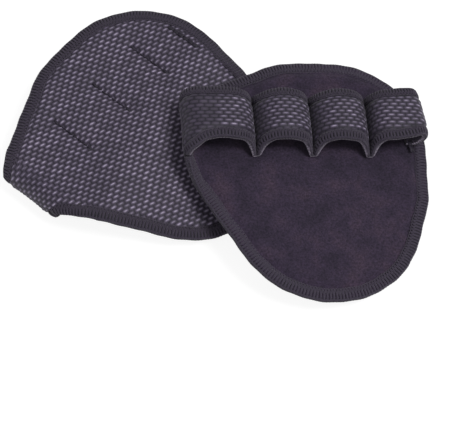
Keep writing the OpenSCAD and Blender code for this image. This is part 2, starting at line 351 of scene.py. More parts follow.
class Grip:
    # one grip's axes, crease and droop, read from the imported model

    def __init__(self, side):
        self.side = side
        joint = next(j for j in frame["joints"] if j["name"] == side + "_flex")
        axis = unit(np.array(joint["axis"], float))
        self.x = unit(middleOf(side + "_seam_ring") - middleOf(side + "_seam_index"))
        up = unit(np.cross(self.x, axis))
        up = up * np.sign(up[2])
        self.y = np.cross(up, self.x)
        self.z = up if side == "right" else -up
        self.origin = middleOf(side + "_seam_middle") - self.z * bendShape["seamMiddleZ"] * mm
        hinge = (np.array(joint["pos_m"]) - self.origin) / mm
        self.hingeAt = np.array([hinge @ self.x, hinge @ self.y])
        self.hingeZ = hinge @ self.z
        crease = np.array([axis @ self.x, axis @ self.y])
        self.crease = crease * np.sign(crease[0])
        self.toHeel = np.array([self.crease[1], -self.crease[0]])
        plate = frame["nodes"][side + "_palm_skin"].data.vertices
        plate = np.array([v.co for v in plate], float)
        facing = np.linalg.svd(plate - plate.mean(0), full_matrices=False)[2][2]
        self.droop = math.acos(min(1, abs(facing @ up)))
        self.way = -1 if side == "right" else 1
        self.buildBend()

    def buildBend(self):
        half = bendShape["half"]
        self.s = np.linspace(-half - 1, bendShape["reach"], 6000)
        self.angle = self.droop * smooth(self.s, -half, half)
        step = self.s[1] - self.s[0]
        self.run = self.s[0] + np.concatenate([[0], np.cumsum(np.cos(self.angle))[:-1]]) * step
        self.fall = np.concatenate([[0], np.cumsum(np.sin(self.angle))[:-1]]) * step

    def pastCrease(self, x, y):
        return (x - self.hingeAt[0]) * self.toHeel[0] + (y - self.hingeAt[1]) * self.toHeel[1]

    def place(self, u, y, depth):
        # blank to world, in metres: the palm hangs down past the crease
        x, y, z = foldedPlace(u, y, depth)
        s = self.pastCrease(x, y)
        bends = (u > foldStart) & (s > self.s[0])
        t = (x - self.hingeAt[0]) * self.crease[0] + (y - self.hingeAt[1]) * self.crease[1]
        angle = np.interp(s, self.s, self.angle)
        height = z - self.hingeZ
        newS = np.interp(s, self.s, self.run) - self.way * np.sin(angle) * height
        newZ = self.hingeZ + self.way * np.interp(s, self.s, self.fall) + np.cos(angle) * height
        bentX, bentY = (
            self.hingeAt[k] + t * self.crease[k] + newS * self.toHeel[k] for k in (0, 1)
        )
        bent = np.stack([bentX, bentY, newZ], -1)
        local = np.where(bends[..., None], bent, np.stack([x, y, z], -1)) * mm
        return self.origin + local @ np.stack([self.x, self.y, self.z])

    def blendAcross(self, piece):
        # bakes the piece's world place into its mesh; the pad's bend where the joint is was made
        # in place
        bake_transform(piece)


left = Grip("left")
right = Grip("right")
for grip in (left, right):
    print(grip.side, "droop", round(math.degrees(grip.droop), 2), "hinge z", round(grip.hingeZ, 2))

# How the faces of the pad rise and sink, in mm. Inset is the distance in from the edge.
faceShape = {
    "edgeSink": 0.5,
    "groove": 0.4,
    "grooveAt": 0.5,  # past the edging's inner side
    "roll": 0.28,
    "rollAt": 3.2,
    "seamSink": 0.95,
    "knitSeamSink": 0.35,
    "seamReach": 1.0,
    "dimple": 0.55,
    "dimpleReach": 4.5,
    "tackSink": 0.8,  # share of a seam's depth
    "tackReach": 1.3,
    "puff": 0.9,
    "knitPuff": 0.8,  # share of the raised fabric's
    "wave": 0.3,
    "crown": 0.3,
}


def edgeSink(inset, width):
    past = inset - width
    sink = faceShape["edgeSink"] * smooth(past, 2.5, -3)
    sink = sink + faceShape["groove"] * bump(past - faceShape["grooveAt"], 0.6)
    return sink - faceShape["roll"] * bump(past - faceShape["rollAt"], 2.2)


def seamSink(x, y, deep):
    # the lines that hold the loops pull the pad in
    half = pattern["seamHalf"]
    within = smooth(np.abs(y), half + 1.6, half - 0.6)
    near = smooth(np.abs(y), half + 5, half - 4)
    total = 0 * x
    for seamX in pattern["seams"]:
        total = total + deep * within * bump(x - seamX, faceShape["seamReach"])
        dimple = faceShape["dimple"] * near * bump(x - seamX, faceShape["dimpleReach"])
        total = total + dimple * deep / faceShape["seamSink"]
    tack = smooth(np.abs(y + 4), 11, 8.5) * bump(x - pattern["tackX"], faceShape["tackReach"])
    return total + faceShape["tackSink"] * deep * tack


def padWave(grip, x, y):
    # the soft pad never lies quite flat
    shift = 0.0 if grip.side == "left" else 2.1
    slow = np.sin(x / 17.0 + 1.1 + shift) * np.cos(y / 21.0 + shift)
    quick = 0.4 * np.sin(x / 8.3 - y / 9.7 + shift) * np.sin(y / 7.1 + shift)
    return faceShape["wave"] * (slow + quick) * smooth(x, foldStart, foldStart + 14)


panelShape = {
    "cell": 2.6,
    "spanU": (-48, 52),
    "margin": 3.4,  # the edging holds the cloth down this far in
    "scale": 10.0,
    "most": 1.3,
    "frames": 20,
}
clothSettings = {
    "quality": 6,
    "mass": 0.3,
    "tension_stiffness": 25,
    "compression_stiffness": 25,
    "bending_stiffness": 3,
    "use_pressure": True,
    "uniform_pressure_force": 4.0,
    "vertex_group_mass": "sewn",
}


def gridCorners(index):
    # the four corners of every cell of a grid
    return np.stack([index[:-1, :-1], index[1:, :-1], index[1:, 1:], index[:-1, 1:]], -1)


def swollen(points, corners, held):
    # how far each point of a cloth panel rises under air pressure, held at some points
    mesh = bpy.data.meshes.new("panel")
    mesh.from_pydata(points.tolist(), [], corners.tolist())
    panel = inScene("panel", mesh)
    group = panel.vertex_groups.new(name="sewn")
    group.add(np.flatnonzero(held).tolist(), 1.0, "REPLACE")
    cloth = panel.modifiers.new("cloth", "CLOTH")
    for name, value in clothSettings.items():
        setattr(cloth.settings, name, value)
    cloth.settings.effector_weights.gravity = 0
    cloth.collision_settings.use_collision = False
    scene = bpy.context.scene
    for moment in range(1, panelShape["frames"] + 1):
        scene.frame_set(moment)
    bpy.context.view_layer.objects.active = panel
    panel.select_set(True)
    bpy.ops.object.modifier_apply(modifier="cloth")
    after = np.empty(len(points) * 3)
    panel.data.vertices.foreach_get("co", after)
    bpy.data.objects.remove(panel)
    scene.frame_set(1)
    return np.abs(after.reshape(-1, 3)[:, 2])


def panelPuff(pinX):
    # Air swells a cloth panel that is sewn down round its edge and along the seams. It is
    # worked out ten times life size, and gives the rise of each point of a square grid.
    cell = panelShape["cell"]
    us = np.arange(*panelShape["spanU"], cell)
    ys = np.arange(*pattern["spanY"], cell)
    gridU, gridY = np.meshgrid(us, ys, indexing="ij")
    inset = insetOf(gridU, gridY)[0]
    inside = inset > panelShape["margin"]
    rise = np.zeros_like(gridU)
    index = -np.ones(gridU.shape, int)
    index[inside] = np.arange(inside.sum())
    corners = gridCorners(index).reshape(-1, 4)
    corners = corners[(corners >= 0).all(1)]
    size = panelShape["scale"] * mm
    points = np.stack([gridU[inside], gridY[inside], 0 * gridU[inside]], 1) * size
    held = np.bincount(corners.ravel(), minlength=len(points)) < 4
    for seamX in pinX:
        close = np.abs(gridU[inside] - seamX) < cell * 0.6
        held |= close & (np.abs(gridY[inside]) < pattern["seamHalf"])
    lift = swollen(points, corners, held) / size
    print("panel puffed up by", round(float(lift.max()), 2), "mm at most")
    lift *= faceShape["puff"] / max(float(np.percentile(lift, 98)), 1e-6)
    rise[inside] = np.minimum(lift, panelShape["most"])
    return us, ys, rise


def sampled(field, x, y):
    us, ys, rise = field
    i = np.clip((x - us[0]) / (us[1] - us[0]), 0, len(us) - 1.001)
    j = np.clip((y - ys[0]) / (ys[1] - ys[0]), 0, len(ys) - 1.001)
    i0, j0 = i.astype(int), j.astype(int)
    fi, fj = smooth(i - i0, 0, 1), smooth(j - j0, 0, 1)
    near = rise[i0, j0] * (1 - fi) + rise[i0 + 1, j0] * fi
    far = rise[i0, j0 + 1] * (1 - fi) + rise[i0 + 1, j0 + 1] * fi
    return near * (1 - fj) + far * fj


outerPuff = panelPuff(pattern["seams"])
innerPuff = panelPuff(pattern["seams"] + (pattern["tackX"],))
print("panels puffed")


def outerFace(grip, x, y):
    # depth of the raised fabric's face
    inset = insetOf(x, y)[0]
    puff = sampled(outerPuff, x, y) * smooth(x, foldStart, foldStart + 10)
    depth = edgeSink(inset, edgingShape["padWidth"]) - puff + seamSink(x, y, faceShape["seamSink"])
    return depth + padWave(grip, x, y), inset


def knitFace(grip, x, y):
    # depth of the smooth knit's face
    inset = insetOf(x, y)[0]
    puff = sampled(innerPuff, x, y) * smooth(x, foldStart, foldStart + 10)
    puff = puff * faceShape["knitPuff"]
    depth = pattern["thickness"] - edgeSink(inset, edgingShape["padWidth"]) + puff
    depth = depth - seamSink(x, y, faceShape["knitSeamSink"])
    return depth + padWave(grip, x, y)


def strapInset(t, y):
    x = np.interp(t, sideAlong, sideView[:, 0])
    across = np.minimum(y - strapFront(t), strapRear(t) - y)
    lower = insetOf(x, y)[0]
    share = smooth(t, quarterTurn * 0.4, quarterTurn)
    return lower * (1 - share) + across * share


def strapOuter(t, y):
    inset = strapInset(t, y)
    sink = edgeSink(inset, edgingShape["strapWidth"]) * (1 - 0.5 * np.clip(valleyNess(t, 4), 0, 1))
    crown = faceShape["crown"] * smooth(inset, 4, 11) * smooth(t, foldEnd, foldEnd + 15)
    return sink - crown


def strapInner(t, y):
    return strapThickness(t) - 0.8 * edgeSink(strapInset(t, y), edgingShape["strapWidth"])


# Raised fabric: floats of yarn in a brick lattice, with gaps between the rows that the fabric's
# colour paints dark as shade
weaveShape = {
    "padTurn": -18.5,
    "long": (3.53, 3.8),  # a float's room along its row, on the pad and on the strap
    "wide": (1.91, 1.8),  # and from row to row
    "straighten": (7, 25),  # the rows turn to run along the strap over this stretch
    "relief": 0.3,
    "pivot": (-64.5, -3.0),
    "floatHalf": 0.47,
    "rowHalf": 0.48,
    "fullness": 1.7,
    "thinning": 0.4,  # the strap is stretched, so its floats are thin
}


def scatter(row, column, salt):
    value = np.sin(row * 12.9898 + column * 78.233 + salt * 37.719) * 43758.5453
    return value - np.floor(value)


def weave(u, y):
    # how high the yarn stands at each point, 0 to 1, and a number that is each float's own
    t = foldStart - u
    share = smooth(t, *weaveShape["straighten"])
    turn = math.radians(weaveShape["padTurn"]) * (1 - share)
    long, wide = (a + (b - a) * share for a, b in (weaveShape["long"], weaveShape["wide"]))
    du = u - weaveShape["pivot"][0]
    dy = y - weaveShape["pivot"][1]
    drift = 0.16 * np.sin(u / 9.1 + y / 13.0) + 0.1 * np.sin(u / 3.7 - y / 5.1)
    along = (du * np.cos(turn) + dy * np.sin(turn)) / long + drift * 0.5
    across = (-du * np.sin(turn) + dy * np.cos(turn)) / wide + drift * 0.35
    row = np.floor(across + 0.5)
    side = across - row
    along = along + 0.5 * np.mod(row, 2) + 0.06 * (scatter(row, 0, 1) - 0.5)
    column = np.floor(along + 0.5)
    end = along - column
    luck = scatter(row, column, 2)
    side = side + 0.05 * (scatter(row, column, 3) - 0.5)
    lengthwise = np.clip(1 - np.abs(end / weaveShape["floatHalf"]) ** 2.8, 0, 1) ** 0.8
    fullness = weaveShape["fullness"] - weaveShape["thinning"] * share
    widthwise = np.clip(1 - np.abs(side / weaveShape["rowHalf"]) ** fullness, 0, 1)
    return lengthwise * widthwise * (0.9 + 0.1 * luck), luck


def newObject(name, points, faces, material):
    mesh = bpy.data.meshes.new(name)
    mesh.vertices.add(len(points))
    mesh.vertices.foreach_set("co", np.asarray(points, np.float32).ravel())
    loops = np.concatenate([f.ravel() for f in faces]).astype(np.int32)
    sizes = np.concatenate([np.full(len(f), f.shape[1]) for f in faces])
    mesh.loops.add(len(loops))
    mesh.loops.foreach_set("vertex_index", loops)
    mesh.polygons.add(len(sizes))
    starts = np.concatenate([[0], np.cumsum(sizes)[:-1]]).astype(np.int32)
    mesh.polygons.foreach_set("loop_start", starts)
    mesh.polygons.foreach_set("use_smooth", np.full(len(sizes), True))
    mesh.update(calc_edges=True)
    mesh.validate()
    mesh.materials.append(material)
    return inScene(name, mesh)


def turned(points, faces, outward):
    # the faces, flipped if they look the wrong way
    a, b, c = (points[faces[:, k]] for k in (0, 1, 2))
    facing = np.cross(b - a, c - b)
    agree = (facing * outward[faces[:, 0]]).sum()
    return faces if agree > 0 else faces[:, ::-1]


def addValue(piece, name, values):
    layer = piece.data.attributes.new(name, "FLOAT", "POINT")
    layer.data.foreach_set("value", np.asarray(values, np.float32).ravel())


def padGrid(step, margin):
    # a square grid over the pad, cut to its outline
    low, high = pattern["spanY"]
    us = foldStart + step * np.arange(int(pattern["spanLong"] / step))
    ys = low + step * np.arange(int((high - low) / step))
    gridU, gridY = np.meshgrid(us, ys, indexing="ij")
    inset, out = insetOf(gridU, gridY)
    inside = inset > margin
    full = inside[:-1, :-1] & inside[1:, :-1] & inside[1:, 1:] & inside[:-1, 1:]
    corners = gridCorners(np.arange(gridU.size).reshape(gridU.shape))[full]
    used, corners = np.unique(corners, return_inverse=True)
    corners = corners.reshape(-1, 4)
    u, y = gridU.ravel()[used], gridY.ravel()[used]
    inset, out = inset.ravel()[used], out.reshape(-1, 2)[used]
    rim = np.bincount(corners.ravel(), minlength=len(used)) < 4
    rim &= inset < margin + step * 1.5
    push = np.where(rim, inset - margin, 0)
    u = np.where(u > foldStart + 0.01, u + out[:, 0] * push, u)
    return u, y + out[:, 1] * push, corners


def strapGrid(step, count, margin):
    # a grid along the strap, from edge to edge
    start, end = -0.8, strapLength - 0.6
    marks = np.linspace(start, end, int((end - start) / step) + 1)
    shares = np.linspace(0, 1, count)
    t, share = np.meshgrid(marks, shares, indexing="ij")
    front, rear = strapFront(t) + margin, strapRear(t) - margin
    y = front + (rear - front) * share
    corners = gridCorners(np.arange(t.size).reshape(t.shape))
    return t.ravel(), y.ravel(), corners.reshape(-1, 4)


def sheetPiece(name, grip, u, y, depth, faces, outward, material):
    points = grip.place(u, y, depth)
    beyond = grip.place(u, y, depth + outward) - points
    return newObject(name, points, [turned(points, faces, beyond)], material)


def blockPiece(name, grip, u, y, depthA, depthB, faces, material):
    # a closed block between two faces, with its rim joined
    count = len(u)
    upper = grip.place(u, y, depthA)
    lower = grip.place(u, y, depthB)
    edges = np.concatenate([faces[:, [k, (k + 1) % 4]] for k in range(4)])
    key = np.sort(edges, 1)
    key = key[:, 0] * count + key[:, 1]
    first, uses = np.unique(key, return_index=True, return_counts=True)[1:]
    rim = edges[first[uses == 1]]
    sides = np.stack([rim[:, 1], rim[:, 0], rim[:, 0] + count, rim[:, 1] + count], 1)
    every = np.concatenate([faces, faces[:, ::-1] + count, sides])
    points = np.concatenate([upper, lower])
    outward = np.concatenate([upper - lower, lower - upper])
    if turned(points, faces, outward) is not faces:
        every = every[:, ::-1]
    return newObject(name, points, [every], material)


# Overlocked edging: two looper threads zigzag over the edge, one on each face, and meet
# in a chain along the rim. A needle thread runs along their inner ends.
edgingShape = {
    "padWidth": 4.7,
    "strapWidth": 3.3,
    "pitch": 1.45,
    "steps": 12,  # points along each thread for one stitch
    "thread": 0.37,
    "chain": 0.27,
    "needle": 0.24,
    "lift": 0.16,
    "rimShare": 0.25,
    "proud": 0.35,
    "ripple": 0.22,
    "bandStep": 0.75,
    "bandLift": -0.06,
    "endGap": 0.05,
}


class EdgePath:
    # a line along an edge of the blank, with the way in from the edge and the thickness
    def __init__(self, line, thickness, seed, width):
        self.width = width
        line = evenly(rounded(evenly(line), 1.2))
        ahead = unitRows(rounded(unitRows(np.gradient(line, axis=0)), 1.5))
        self.s = lineStep * np.arange(len(line))
        self.length = self.s[-1]
        self.inward = np.stack([ahead[:, 1], -ahead[:, 0]], 1)
        wobble = np.sin(self.s / 3.1 + seed) + 0.7 * np.sin(self.s / 1.37 + 2 * seed)
        self.line = line + self.inward * (edgingShape["ripple"] * 0.5 * wobble)[:, None]
        self.thickness = thickness(line)

    def at(self, s, w, lift):
        # w goes from -1, inside on the raised face, round the rim to 1 on the knit face
        proud, rimShare = edgingShape["proud"], edgingShape["rimShare"]
        thickness = np.interp(s, self.s, self.thickness)
        rim = thickness / 2 - faceShape["edgeSink"] + lift
        share = np.clip(np.abs(w) / rimShare, 0, 1)
        arc = share * math.pi / 2
        inner = np.clip((np.abs(w) - rimShare) / (1 - rimShare), 0, 1.2)
        inset = -proud + rim * (1 - np.cos(arc))
        inset = inset + (self.width - (rim - proud)) * inner
        half = thickness / 2 - edgeSink(inset, self.width) + lift
        height = np.where(share < 1, rim * np.sin(arc), half)
        height = np.where(share < 1, height, rim + (half - rim) * smooth(inner, 0, 0.3))
        height = height * np.sign(w)
        columns = (*self.line.T, *self.inward.T)
        u, y, inU, inY = (np.interp(s, self.s, column) for column in columns)
        return u + inU * inset, y + inY * inset, thickness / 2 + height


def ringFaces(index):
    # the sides and the two ends of a tube, whose points run along it and round it
    following = np.roll(index, -1, 1)
    quads = np.stack([index[:-1], following[:-1], following[1:], index[1:]], -1).reshape(-1, 4)
    return quads, np.stack([index[0][::-1], index[-1]])


def tube(points, normals, radius, sides):
    # a thread along points, closed at its ends
    ahead = unitRows(np.gradient(points, axis=0))
    across = unitRows(np.cross(ahead, normals))
    upward = np.cross(across, ahead)
    angles = np.arange(sides)[:, None] * 2 * math.pi / sides
    ring = (
        points[:, None]
        + radius * mm * np.cos(angles) * across[:, None]
        + radius * mm * np.sin(angles) * upward[:, None]
    )
    index = np.arange(len(points) * sides).reshape(len(points), sides)
    return ring.reshape(-1, 3), *ringFaces(index)


def joined(parts):
    # many tubes as one list of points and faces, with a tone for each point
    points, quads, caps, tones = [], [], [], []
    base = 0
    for verts, faces, ends, tone in parts:
        points.append(verts)
        quads.append(faces + base)
        caps.append(ends + base)
        tones.append(np.repeat(tone, len(verts) // np.size(tone)))
        base += len(verts)
    widths = sorted({c.shape[1] for c in caps})
    ends = [np.concatenate([c for c in caps if c.shape[1] == width]) for width in widths]
    return np.concatenate(points), [np.concatenate(quads)] + ends, np.concatenate(tones)


def threadPiece(name, parts, material):
    points, faces, tones = joined(parts)
    piece = newObject(name, points, faces, material)
    addValue(piece, "strand", tones)
    return piece


def alongEdge(grip, path, s, w, lift, radius, sides):
    # a thread that runs along an edge
    s = np.clip(s, edgingShape["endGap"], path.length - edgingShape["endGap"])
    here = grip.place(*path.at(s, w, lift))
    beyond = grip.place(*path.at(s, w, lift + 0.2))
    return tube(here, unitRows(beyond - here), radius, sides)


def edgingBand(grip, path):
    # the band of yarn underneath
    s = np.linspace(0, path.length, int(path.length / edgingShape["bandStep"]) + 1)
    w = np.linspace(-1.03, 1.03, 17)
    gridS, gridW = np.meshgrid(s, w, indexing="ij")
    here = grip.place(*path.at(gridS.ravel(), gridW.ravel(), edgingShape["bandLift"]))
    return (here, *ringFaces(np.arange(len(here)).reshape(gridS.shape)), 0.0)


def looper(grip, path, seed, face, steps, pitch):
    # a zigzag over one face, from the rim to the edging's inner side and back
    phase = steps % 1
    zigzag = 1 - np.abs(2 * phase - 1)
    zigzag = smooth(zigzag, -0.12, 1.12) * 1.02
    loose = scatter(np.floor(steps), seed, face) - 0.5
    reach = 0.98 + 0.07 * loose
    w = face * (0.03 + (reach - 0.03) * (1 - zigzag))
    s = steps * pitch + 0.12 * pitch * np.sin(2 * math.pi * phase) + 0.1 * loose
    lift = edgingShape["lift"] + 0.05 * np.sin(2 * math.pi * phase + face)
    lift = lift - 0.12 * bump(1 - np.abs(w), 0.1)
    return (*alongEdge(grip, path, s, w, lift, edgingShape["thread"], 6), 0.6 + 0.1 * face)


def needleThread(grip, path, face, steps, pitch):
    # a short stitch over each pair of a looper's ends
    w = face * (1.0 + 0.012 * np.sin(2 * math.pi * steps))
    lift = 0.1 - 0.28 * np.cos(math.pi * steps) ** 8
    return (*alongEdge(grip, path, steps * pitch, w, lift, edgingShape["needle"], 5), 0.85)


def rimChain(grip, path, lean, steps, pitch, chainPaintedLight):
    # half of the chain along the rim, with a painted highlight where it bulges
    w = lean * 0.12 * np.sin(2 * math.pi * steps)
    lift = edgingShape["lift"] + 0.16 + 0.14 * lean * np.cos(2 * math.pi * steps)
    beadHighlights = chainPaintedLight * (0.78 + 0.22 * np.sin(math.pi * (steps + 0.25 * lean)) ** 2)
    return (*alongEdge(grip, path, steps * pitch, w, lift, edgingShape["chain"], 5), beadHighlights)


def edging(name, grip, path, seed, chainPaintedLight, material):
    stitches = int(path.length / edgingShape["pitch"])
    pitch = path.length / stitches
    steps = np.arange(stitches * edgingShape["steps"] + 1) / edgingShape["steps"]
    parts = [edgingBand(grip, path)]
    for face in (-1, 1):
        parts.append(looper(grip, path, seed, face, steps, pitch))
        parts.append(needleThread(grip, path, face, steps, pitch))
    for lean in (-1, 1):
        parts.append(rimChain(grip, path, lean, steps, pitch, chainPaintedLight))
    return threadPiece(name, parts, material)


def padEdgePath():
    # round the pad from the rear fold corner to the front one
    turn = np.linspace(quarterTurn - 0.3, 0, 40)
    rear = np.stack([foldStart - turn, strapRear(turn)], 1)
    front = np.stack([foldStart - turn, strapFront(turn)], 1)
    line = np.concatenate([rear, outline, front[::-1]])
    even = pattern["thickness"]
    return EdgePath(line, lambda p: np.full(len(p), even), 1.0, edgingShape["padWidth"])


def strapEdgePath(edge):
    t = np.linspace(quarterTurn + 0.3, strapLength - 0.4, 400)
    y = strapFront(t) if edge == "front" else strapRear(t)
    line = np.stack([foldStart - t, y], 1)
    if edge == "rear":
        line = line[::-1]
    width = edgingShape["strapWidth"]
    return EdgePath(line, lambda p: strapThickness(foldStart - p[:, 0]), 2.0, width)


# Lockstitch seams: a thread on each face that dips into the pad at every stitch
seamShape = {
    "pitch": 2.75,
    "thread": 0.33,
    "tackThread": 0.4,
    "ends": 3.2,  # the seam's ends are sewn over three times
    "step": 0.16,
    "lift": 0.34,
    "dip": 0.75,
}


def seamThread(grip, face, x, fromY, toY, shift, radius):
    # One run of stitches along y: on the raised face of the pad, on the strap, or on the
    # inside of the last loop. x is a place on the pad, or else a distance along the strap.
    y = np.linspace(fromY, toY, int(abs(toY - fromY) / seamShape["step"]) + 2)
    phase = (y - fromY) / seamShape["pitch"]
    lift = seamShape["lift"] - seamShape["dip"] * np.abs(np.cos(math.pi * phase)) ** 10
    place = x + (shift + 0.12 * np.sin(y * 1.3 + x))
    if face == "pad":
        u, away, depth = place, -1, outerFace(grip, place, y)[0]
    elif face == "strap":
        u, away, depth = foldStart - place, -1, strapOuter(place, y)
    else:
        u, away, depth = foldStart - place, 1, strapInner(place, y)
    depth = depth + away * lift
    here = grip.place(u, y, depth)
    beyond = grip.place(u, y, depth + away * 0.3)
    return (*tube(here, unitRows(beyond - here), radius, 7), 0.4 + 0.2 * np.sign(shift))


def seamPiece(name, grip, runs, low, high, material):
    # a seam that goes through two layers, with a run of stitches on each
    parts = []
    thread, tackThread, ends = (seamShape[key] for key in ("thread", "tackThread", "ends"))
    for x, face in runs:
        parts.append(seamThread(grip, face, x, low, high, 0.0, thread))
        for lean in (-0.34, 0.34):
            parts.append(seamThread(grip, face, x, low, low + ends, lean, thread))
            parts.append(seamThread(grip, face, x, high - ends, high, lean, thread))
        if runs[1][1] == "inside":
            for lean in (-0.55, 0.55):
                parts.append(seamThread(grip, face, x, low, high, lean, tackThread))
    return threadPiece(name, parts, material)


# ways to set up a material's nodes


def newMaterial(name):
    material = bpy.data.materials.new(name)
    material.use_nodes = True
    tree = material.node_tree
    tree.nodes.clear()
    shader = tree.nodes.new("ShaderNodeBsdfPrincipled")
    output = tree.nodes.new("ShaderNodeOutputMaterial")
    tree.links.new(shader.outputs[0], output.inputs["Surface"])
    return material, tree, shader


def tone(red, green, blue):
    # a screen colour, 0 to 255, as the linear colour that nodes take
    parts = []
    for value in (red, green, blue):
        value = value / 255
        low = value / 12.92
        parts.append(low if value < 0.04045 else ((value + 0.055) / 1.055) ** 2.4)
    return (*parts, 1)


def addNode(tree, kind, **settings):
    node = tree.nodes.new("ShaderNode" + kind)
    for key, value in settings.items():
        setattr(node, key, value)
    return node


def setInputs(node, values):
    for name, value in values.items():
        node.inputs[name].default_value = value


def grey(value):
    return (value, value, value, 1)


def addNoise(tree, scale, detail, rough=0.6):
    where = addNode(tree, "TexCoord")
    noise = addNode(tree, "TexNoise")
    setInputs(noise, {"Scale": scale, "Detail": detail, "Roughness": rough})
    tree.links.new(where.outputs["Object"], noise.inputs["Vector"])
    return noise.outputs["Fac"]


def addRamp(tree, source, stops):
    ramp = addNode(tree, "ValToRGB")
    elements = ramp.color_ramp.elements
    while len(elements) < len(stops):
        elements.new(0.5)
    for element, (place, colour) in zip(elements, stops):
        element.position = place
        element.color = colour
    tree.links.new(source, ramp.inputs[0])
    return ramp.outputs[0]


def tinted(tree, colour, source, low, high):
    # the colour times a tone that goes with a noise or an attribute
    mix = addNode(tree, "Mix", data_type="RGBA", blend_type="MULTIPLY")
    mix.inputs[0].default_value = 1.0
    tree.links.new(colour, mix.inputs[6])
    tree.links.new(addRamp(tree, source, (low, high)), mix.inputs[7])
    return mix.outputs[2]


def finished(material, tree, shader, colour, height, distance, strength, values):
    # gives a material its colour, fine relief and finish
    tree.links.new(colour, shader.inputs["Base Color"])
    setInputs(shader, values)
    node = addNode(tree, "Bump")
    setInputs(node, {"Distance": distance, "Strength": strength})
    tree.links.new(height, node.inputs["Height"])
    tree.links.new(node.outputs[0], shader.inputs["Normal"])
    return material


def addAttribute(tree, name):
    return addNode(tree, "Attribute", attribute_name=name).outputs["Fac"]


def raisedFabric():
    # dark ground yarn with lighter, slightly glossy floats; the ramp also paints a highlight along
    # each float's crest and painted shade in the gaps between rows
    material, tree, shader = newMaterial("raisedFabric")
    # stops: the lowest is painted shade in the gaps between rows, the two highest a painted
    # highlight along the floats' crests
    stops = [
        (0.0, tone(18, 13, 28)),
        (0.2, tone(47, 40, 56)),
        (0.6, tone(71, 63, 81)),
        (0.78, tone(106, 98, 118)),
        (1.0, tone(168, 158, 180)),
    ]
    luck = addAttribute(tree, "floatShade")
    yarn = addNoise(tree, 2600.0, 2.0)
    patch = addNoise(tree, 70.0, 2.0)
    colour = addRamp(tree, addAttribute(tree, "floatHeightAndPaintedLight"), stops)
    colour = tinted(tree, colour, yarn, (0.3, grey(0.78)), (0.7, grey(1.2)))
    colour = tinted(tree, colour, luck, (0.0, grey(0.82)), (1.0, grey(1.15)))
    colour = tinted(tree, colour, patch, (0.3, (0.88, 0.88, 0.9, 1)), (0.7, (1.08, 1.07, 1.06, 1)))
    values = {"Roughness": 0.62, "Specular IOR Level": 0.35, "Sheen Weight": 0.12}
    return finished(material, tree, shader, colour, yarn, 0.00012, 0.5, values)


def smoothKnit():
    # a brushed knit, mottled where the nap lies different ways
    material, tree, shader = newMaterial("smoothKnit")
    stops = [(0.35, tone(38, 31, 46)), (0.5, tone(47, 38, 55)), (0.66, tone(57, 45, 60))]
    colour = addRamp(tree, addNoise(tree, 75.0, 5.0), stops)
    nap = addNoise(tree, 1100.0, 5.0, 0.75)
    colour = tinted(tree, colour, nap, (0.36, (0.5, 0.5, 0.52, 1)), (0.64, (1.5, 1.49, 1.48, 1)))
    setInputs(shader, {"Sheen Weight": 0.08, "Sheen Roughness": 0.6})
    values = {"Roughness": 0.92, "Specular IOR Level": 0.2}
    return finished(material, tree, shader, colour, nap, 0.00025, 0.6, values)


def rubberFoam():
    material, tree, shader = newMaterial("rubberFoam")
    cells = addNode(tree, "TexVoronoi")
    setInputs(cells, {"Scale": 2200.0})
    where = addNode(tree, "TexCoord")
    tree.links.new(where.outputs["Object"], cells.inputs["Vector"])
    distance = cells.outputs["Distance"]
    colour = addRamp(tree, distance, [(0.1, tone(20, 18, 22)), (0.7, tone(44, 41, 47))])
    return finished(material, tree, shader, colour, distance, 0.0002, 0.7, {"Roughness": 0.85})


def edgingThread():
    # textured yarn: the band under it is darker than the loopers, and the rim chain lighter,
    # through a painted highlight on each bead
    material, tree, shader = newMaterial("edgingThread")
    stops = [
        (0.0, tone(36, 31, 43)),
        (0.5, tone(52, 45, 60)),
        (0.85, tone(58, 51, 66)),
        # the top stop is the painted highlight on the rim chain's beads
        (1.0, tone(150, 141, 158)),
    ]
    fluff = addNoise(tree, 3200.0, 2.0)
    colour = addRamp(tree, addAttribute(tree, "strand"), stops)
    colour = tinted(tree, colour, fluff, (0.3, grey(0.72)), (0.7, grey(1.25)))
    values = {"Roughness": 0.75, "Specular IOR Level": 0.3, "Sheen Weight": 0.15}
    return finished(material, tree, shader, colour, fluff, 0.00015, 0.6, values)


def seamYarn():
    # hard twisted sewing thread
    material, tree, shader = newMaterial("seamYarn")
    stops = [(0.0, tone(24, 20, 31)), (1.0, tone(48, 42, 56))]
    twist = addNoise(tree, 4200.0, 1.0)
    colour = addRamp(tree, addAttribute(tree, "strand"), stops)
    colour = tinted(tree, colour, twist, (0.35, grey(0.7)), (0.65, grey(1.4)))
    values = {"Roughness": 0.6, "Specular IOR Level": 0.4}
    return finished(material, tree, shader, colour, twist, 0.0001, 0.6, values)


# one grip after the other


# the float height is kept for the fabric's colour, which paints highlights on the crests and shade
# in the gaps
def weaveOnto(piece, height, luck):
    addValue(piece, "floatHeightAndPaintedLight", np.clip(height, 0, 1))
    addValue(piece, "floatShade", luck)


